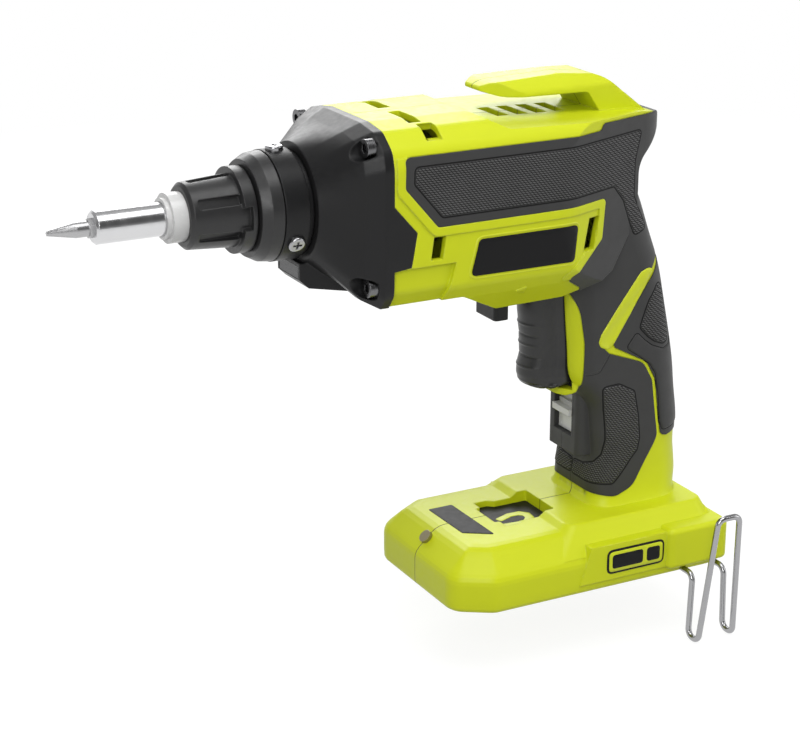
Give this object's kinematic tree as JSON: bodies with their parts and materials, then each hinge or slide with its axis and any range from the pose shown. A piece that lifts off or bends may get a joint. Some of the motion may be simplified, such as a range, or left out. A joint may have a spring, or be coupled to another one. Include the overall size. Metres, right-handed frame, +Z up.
{
  "type": "cordless drywall screwdriver",
  "caption": "Pistol-grip cordless screwdriver with a depth-set nose collar, bit holder, sprung trigger, direction selector, lock-on slide, top hook, wire belt hook and a foot for a battery.",
  "frame": {"origin": "middle of the battery socket's mouth, in the underside of the foot, on the parting plane of the housing", "axes": "-X towards the bit, so +X towards the user; +Y to the tool's right side; +Z up along the handle"},
  "size_m": [0.2699, 0.1024, 0.2318],
  "materials": {
    "lime_plastic": "satin moulded lime",
    "grip_rubber": "matte, woven texture",
    "black_plastic": "fine moulded grain",
    "white_plastic": "smooth",
    "clear_lens": "clear",
    "circuit_board": "solder mask",
    "bright_steel": "bright plated",
    "machined_steel": "machined",
    "sintered_bronze": "dull bronze and copper",
    "cast_alloy": "die cast",
    "lamination_steel": "stacked sheet",
    "dark_magnet": "dull"
  },
  "bodies": {
    "tool_body": {"left_housing": "lime_plastic", "right_housing": "lime_plastic", "left_upper_grip": "grip_rubber", "right_upper_grip": "grip_rubber", "left_backstrap_grip": "grip_rubber", "right_backstrap_grip": "grip_rubber", "left_front_grip": "grip_rubber", "right_front_grip": "grip_rubber", "gear_case": "black_plastic", "gear_case_screws": "bright_steel", "led_lens": "clear_lens", "led_board": "circuit_board", "collar_seat": "black_plastic", "collar_screws": "bright_steel", "spindle_bush": "sintered_bronze", "ring_gear": "machined_steel", "spindle_bearing": "machined_steel", "gearbox_plate": "cast_alloy", "front_motor_bearing": "machined_steel", "rear_motor_bearing": "machined_steel", "motor_stator": "lamination_steel", "motor_windings": "sintered_bronze", "switch_module": "black_plastic", "trigger_spring": "machined_steel", "tray_plate": "black_plastic", "tray_magnet": "dark_magnet", "foot_screw": "bright_steel", "controller_tray": "black_plastic", "controller_board": "circuit_board", "terminal_block": "black_plastic", "battery_contacts": "sintered_bronze", "belt_hook": "bright_steel", "housing_screws": "bright_steel"},
    "rotor": {"motor_rotor": "lamination_steel", "rotor_magnets": "dark_magnet", "motor_shaft": "machined_steel", "cooling_fan": "black_plastic", "sun_pinion": "machined_steel"},
    "carrier": {"planet_carrier": "machined_steel"},
    "planet_1": {"planet_gear_1": "machined_steel"},
    "planet_2": {"planet_gear_2": "machined_steel"},
    "planet_3": {"planet_gear_3": "machined_steel"},
    "output_spindle": {"spindle": "machined_steel", "bit_holder": "bright_steel", "holder_magnet": "dark_magnet", "screw_bit": "machined_steel", "clutch_spring": "machined_steel"},
    "collar": {"depth_collar": "black_plastic"},
    "nose_sleeve": {"depth_sleeve": "black_plastic", "guide_bush": "white_plastic"},
    "trigger": {"trigger": "black_plastic"},
    "selector": {"direction_selector": "black_plastic"},
    "lock_slide": {"lock_on_switch": "white_plastic"}
  },
  "joints": [
    {"name": "rotor_spin", "type": "hinge", "parent": "tool_body", "child": "rotor", "pos_m": [-0.083, 0, 0.166], "axis": [1, 0, 0], "continuous": true},
    {"name": "carrier_spin", "type": "hinge", "parent": "tool_body", "child": "carrier", "pos_m": [-0.14, 0, 0.166], "axis": [1, 0, 0], "continuous": true},
    {"name": "planet_1_spin", "type": "hinge", "parent": "carrier", "child": "planet_1", "pos_m": [-0.1315, 0, 0.1765], "axis": [1, 0, 0], "continuous": true},
    {"name": "planet_2_spin", "type": "hinge", "parent": "carrier", "child": "planet_2", "pos_m": [-0.1315, 0.00909, 0.16075], "axis": [1, 0, 0], "continuous": true},
    {"name": "planet_3_spin", "type": "hinge", "parent": "carrier", "child": "planet_3", "pos_m": [-0.1315, -0.00909, 0.16075], "axis": [1, 0, 0], "continuous": true},
    {"name": "spindle_push", "type": "slide", "parent": "carrier", "child": "output_spindle", "axis": [1, 0, 0], "range_m": [0, 0.003], "stiffness_N_per_m": 2500, "springref_m": -0.002, "deforming": ["clutch_spring"]},
    {"name": "collar_turn", "type": "hinge", "parent": "tool_body", "child": "collar", "pos_m": [-0.162, 0, 0.166], "axis": [1, 0, 0], "range_deg": [0, 300]},
    {"name": "sleeve_slide", "type": "slide", "parent": "tool_body", "child": "nose_sleeve", "axis": [-1, 0, 0], "range_m": [0, 0.005]},
    {"name": "trigger_pull", "type": "slide", "parent": "tool_body", "child": "trigger", "axis": [1, 0, 0], "range_m": [0, 0.007], "stiffness_N_per_m": 900, "springref_m": -0.004, "deforming": ["trigger_spring"]},
    {"name": "selector_swing", "type": "hinge", "parent": "tool_body", "child": "selector", "pos_m": [-0.0286, 0, 0.1255], "axis": [0, 0, 1], "range_deg": [-7, 7]},
    {"name": "lock_on_slide", "type": "slide", "parent": "tool_body", "child": "lock_slide", "axis": [0, 0, 1], "range_m": [0, 0.0045]}
  ],
  "couplings": [
    {"joint": "carrier_spin", "follows": "rotor_spin", "ratio": 0.2},
    {"joint": "planet_1_spin", "follows": "rotor_spin", "ratio": -0.53333},
    {"joint": "planet_2_spin", "follows": "rotor_spin", "ratio": -0.53333},
    {"joint": "planet_3_spin", "follows": "rotor_spin", "ratio": -0.53333},
    {"joint": "sleeve_slide", "follows": "collar_turn", "m_per_rad": 0.00095493}
  ]
}
